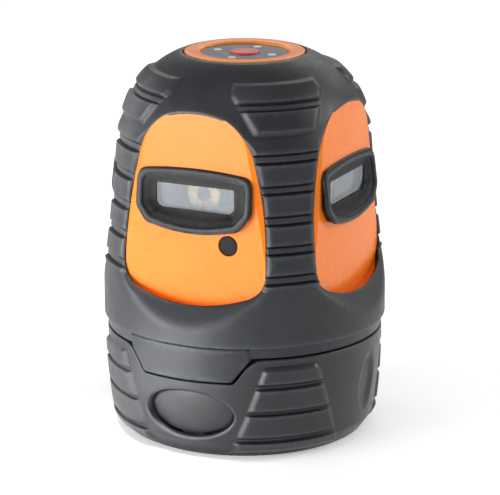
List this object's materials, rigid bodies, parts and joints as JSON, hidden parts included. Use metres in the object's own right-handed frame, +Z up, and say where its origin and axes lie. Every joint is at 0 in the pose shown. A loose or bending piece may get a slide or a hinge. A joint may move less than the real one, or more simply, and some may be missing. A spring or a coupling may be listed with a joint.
{
  "type": "line laser level",
  "caption": "Round self-levelling line laser: rubber-clad domed head with a framed window on each side, top keypad, and a lift-off battery base with a tripod thread.",
  "frame": {"origin": "middle of the underside, on the head's vertical axis", "axes": "+Z up, the panel with the mode button faces -Y, the panel at its right faces +X"},
  "size_m": [0.124, 0.124, 0.1683],
  "materials": {
    "jacket_rubber": "matte, fine grain",
    "housing_orange": "satin",
    "bezel_slate": "satin",
    "window_glass": "clear",
    "seal_rubber": "matte",
    "keypad_silicone": "satin",
    "power_red": "satin",
    "indicator_clear": "frosted",
    "board_green": "satin",
    "switch_black": "matte",
    "button_black": "satin",
    "collar_gloss": "semi-gloss",
    "base_plastic": "matte, fine grain",
    "tray_plastic": "matte",
    "cell_jacket": "gloss",
    "screw_steel": "bright",
    "spring_steel": "bright",
    "pin_steel": "polished",
    "brass": "turned",
    "frame_aluminium": "machined",
    "lens_glass": "clear",
    "magnet_nickel": "plated"
  },
  "bodies": {
    "base": {"base_cup": "base_plastic", "foot_ring": "seal_rubber", "tripod_insert": "brass", "latch_spring": "spring_steel", "latch_screw": "screw_steel", "button_pins": "pin_steel", "battery_tray": "tray_plastic", "battery_cells": "cell_jacket", "battery_contacts": "spring_steel", "supply_pads": "brass", "tray_screws": "screw_steel"},
    "release_catch": {"release_button": "base_plastic"},
    "head": {"rubber_jacket": "jacket_rubber", "housing_shell": "housing_orange", "window_bezel_front": "bezel_slate", "window_bezel_right": "bezel_slate", "window_bezel_rear": "bezel_slate", "window_bezel_left": "bezel_slate", "window_glass_front": "window_glass", "window_glass_right": "window_glass", "window_glass_rear": "window_glass", "window_glass_left": "window_glass", "window_gaskets": "seal_rubber", "keypad_ring": "housing_orange", "keypad_pad": "keypad_silicone", "indicator_lenses": "indicator_clear", "keypad_board": "board_green", "power_switch": "switch_black", "keypad_screws": "screw_steel", "mode_switch": "switch_black", "mode_board": "board_green", "head_floor": "collar_gloss", "front_tab": "collar_gloss", "floor_seal": "seal_rubber", "floor_screws": "screw_steel", "post_screws": "screw_steel", "supply_pins": "brass", "gimbal_posts": "frame_aluminium", "gimbal_bridge": "frame_aluminium", "bridge_screws": "screw_steel", "ring_bearings": "pin_steel", "main_board": "board_green", "magnet_holder": "tray_plastic", "damper_magnets": "magnet_nickel"},
    "power_key": {"power_button": "power_red"},
    "mode_key": {"mode_button": "button_black"},
    "gimbal": {"gimbal_ring": "frame_aluminium", "ring_pins": "pin_steel", "pendulum_bearings": "pin_steel"},
    "pendulum": {"pendulum_body": "frame_aluminium", "pendulum_pins": "pin_steel", "laser_module_front": "brass", "laser_module_right": "brass", "laser_module_rear": "brass", "laser_module_left": "brass", "module_lenses": "lens_glass", "trim_screws": "screw_steel", "damper_disc": "frame_aluminium"}
  },
  "joints": [
    {"name": "head_lift", "type": "slide", "parent": "base", "child": "head", "axis": [0, 0, 1], "range_m": [0, 0.07], "deforming": ["latch_spring"]},
    {"name": "release_press", "type": "hinge", "parent": "base", "child": "release_catch", "pos_m": [0, -0.051, 0.033], "axis": [1, 0, 0], "range_deg": [0, 5], "stiffness_Nm_per_rad": 0.1, "springref_deg": -2.86},
    {"name": "power_press", "type": "slide", "parent": "head", "child": "power_key", "axis": [0, 0, -1], "range_m": [0, 0.001], "stiffness_N_per_m": 300, "springref_m": -0.001},
    {"name": "mode_press", "type": "slide", "parent": "head", "child": "mode_key", "axis": [0, 1, 0], "range_m": [0, 0.0012], "stiffness_N_per_m": 300, "springref_m": -0.001},
    {"name": "gimbal_roll", "type": "hinge", "parent": "head", "child": "gimbal", "pos_m": [0, 0, 0.138], "axis": [1, 0, 0], "range_deg": [-3.5, 3.5]},
    {"name": "pendulum_pitch", "type": "hinge", "parent": "gimbal", "child": "pendulum", "pos_m": [0, 0, 0.138], "axis": [0, 1, 0], "range_deg": [-3.5, 3.5]}
  ]
}
